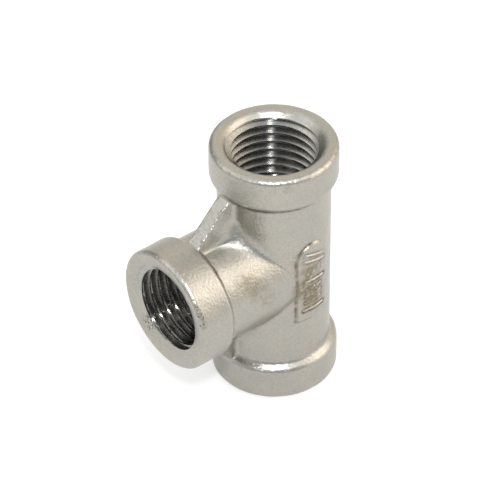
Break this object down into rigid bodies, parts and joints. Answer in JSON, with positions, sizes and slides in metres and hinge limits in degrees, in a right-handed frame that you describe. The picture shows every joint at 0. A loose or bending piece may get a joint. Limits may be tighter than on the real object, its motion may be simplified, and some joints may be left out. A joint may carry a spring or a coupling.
{
  "type": "threaded pipe tee",
  "caption": "Banded pipe tee with internal parallel pipe threads at its run ends and branch, gusset webs in both corners and a raised marking pad.",
  "frame": {"origin": "centre of the bounding box at the lower run face, on which the tee stands", "axes": "+Z along the run, -Y out through the branch, marking pad on the +X side"},
  "size_m": [0.0174, 0.0276, 0.038],
  "materials": {
    "cast_stainless": "satin, blasted and pickled casting with machined threads"
  },
  "bodies": {
    "root": {"tee_body": "cast_stainless"}
  },
  "joints": []
}
